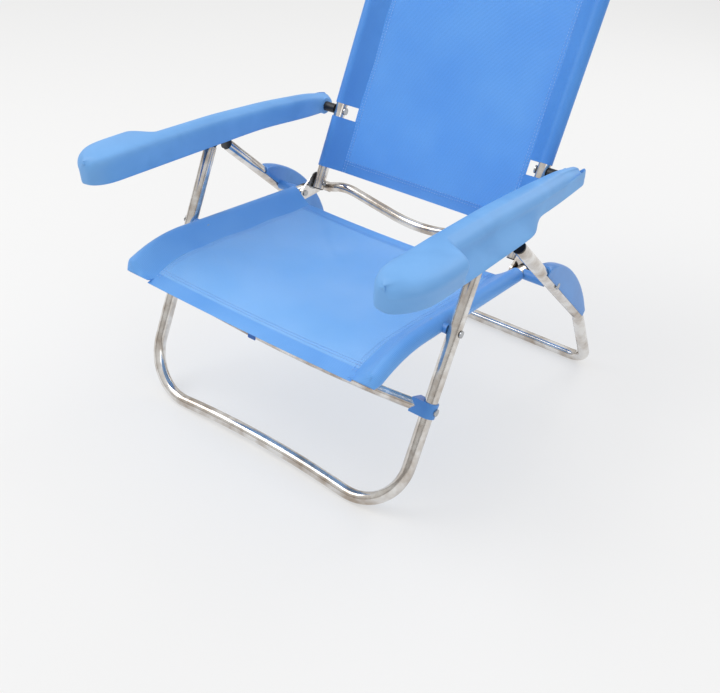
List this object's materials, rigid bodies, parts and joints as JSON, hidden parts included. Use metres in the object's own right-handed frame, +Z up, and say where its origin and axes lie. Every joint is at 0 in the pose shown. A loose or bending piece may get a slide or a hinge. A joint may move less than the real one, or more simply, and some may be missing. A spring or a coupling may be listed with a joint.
{
  "type": "folding beach chair",
  "caption": "Low folding beach chair: bent tube legs, seat rails and back frame, fabric slings, moulded armrests with notch racks that set the recline",
  "frame": {"origin": "on the ground under the middle of the chair's box", "axes": "+Z up, -Y the front where the knees are, +Y the back, +X the sitter's left"},
  "size_m": [0.672, 0.7662, 0.8774],
  "materials": {
    "frame_tube": "polished",
    "fastener_steel": "satin",
    "arm_plastic": "matt, moulded",
    "clip_plastic": "satin, moulded",
    "black_plastic": "matt",
    "sling_mesh": "coated open mesh",
    "webbing": "woven tape"
  },
  "bodies": {
    "seat": {"seat_rail_left": "frame_tube", "seat_rail_right": "frame_tube", "rail_front_plugs": "black_plastic", "rail_end_caps": "black_plastic", "front_pivot_spacers": "clip_plastic", "front_pivot_rivets": "fastener_steel", "rear_pivot_spacers": "clip_plastic", "rear_pivot_rivets": "fastener_steel", "rear_brace": "frame_tube", "seat_sling": "sling_mesh", "closing_strap": "webbing", "back_pivot_rivets": "fastener_steel"},
    "front_legs": {"front_leg_frame": "frame_tube", "front_brace": "frame_tube", "brace_clip_left": "clip_plastic", "brace_clip_right": "clip_plastic", "clip_rivets": "fastener_steel", "latch_plugs": "black_plastic", "latch_pins": "fastener_steel"},
    "rear_legs": {"rear_leg_frame": "frame_tube", "heel_bumper_left": "clip_plastic", "heel_bumper_right": "clip_plastic", "bumper_screws": "fastener_steel", "rear_leg_plugs": "black_plastic"},
    "back_hinges": {"hinge_washers": "fastener_steel"},
    "back": {"back_frame": "frame_tube", "back_sling": "sling_mesh", "back_frame_plugs": "black_plastic"},
    "arm_bolt_pair": {"arm_bolts": "fastener_steel", "arm_bolt_nuts": "fastener_steel"},
    "arm_bush_pair": {"arm_bushes": "black_plastic"},
    "arm_left": {"armrest_left": "arm_plastic", "notch_rack_left": "black_plastic"},
    "arm_right": {"armrest_right": "arm_plastic", "notch_rack_right": "black_plastic"}
  },
  "joints": [
    {"name": "leg_fold", "type": "hinge", "parent": "seat", "child": "front_legs", "pos_m": [0, -0.17241, 0.298], "axis": [1, 0, 0], "range_deg": [0, 94]},
    {"name": "rear_leg_fold", "type": "hinge", "parent": "seat", "child": "rear_legs", "pos_m": [0, 0.09091, 0.281], "axis": [1, 0, 0], "range_deg": [0, 31.1]},
    {"name": "back_fold", "type": "hinge", "parent": "seat", "child": "back_hinges", "pos_m": [0, 0.11991, 0.3], "axis": [1, 0, 0], "range_deg": [0, 94]},
    {"name": "back_recline", "type": "hinge", "parent": "back_hinges", "child": "back", "pos_m": [0, 0.11991, 0.3], "axis": [1, 0, 0], "range_deg": [-45, 0]},
    {"name": "arm_fold", "type": "hinge", "parent": "back", "child": "arm_bolt_pair", "pos_m": [0, 0.17868, 0.432], "axis": [1, 0, 0], "range_deg": [-94, 0]},
    {"name": "arm_tilt", "type": "hinge", "parent": "arm_bolt_pair", "child": "arm_bush_pair", "pos_m": [0, 0.17868, 0.432], "axis": [1, 0, 0], "range_deg": [0, 32.5]},
    {"name": "arm_lift_left", "type": "hinge", "parent": "arm_bush_pair", "child": "arm_left", "pos_m": [0, 0.17868, 0.432], "axis": [-1, 0, 0], "range_deg": [0, 12]},
    {"name": "arm_lift_right", "type": "hinge", "parent": "arm_bush_pair", "child": "arm_right", "pos_m": [0, 0.17868, 0.432], "axis": [-1, 0, 0], "range_deg": [0, 12]}
  ],
  "couplings": [
    {"joint": "rear_leg_fold", "follows": "leg_fold", "ratio": 0.33},
    {"joint": "back_fold", "follows": "leg_fold", "ratio": 1},
    {"joint": "arm_fold", "follows": "leg_fold", "ratio": -1},
    {"joint": "arm_tilt", "follows": "back_recline", "ratio": -0.72}
  ]
}
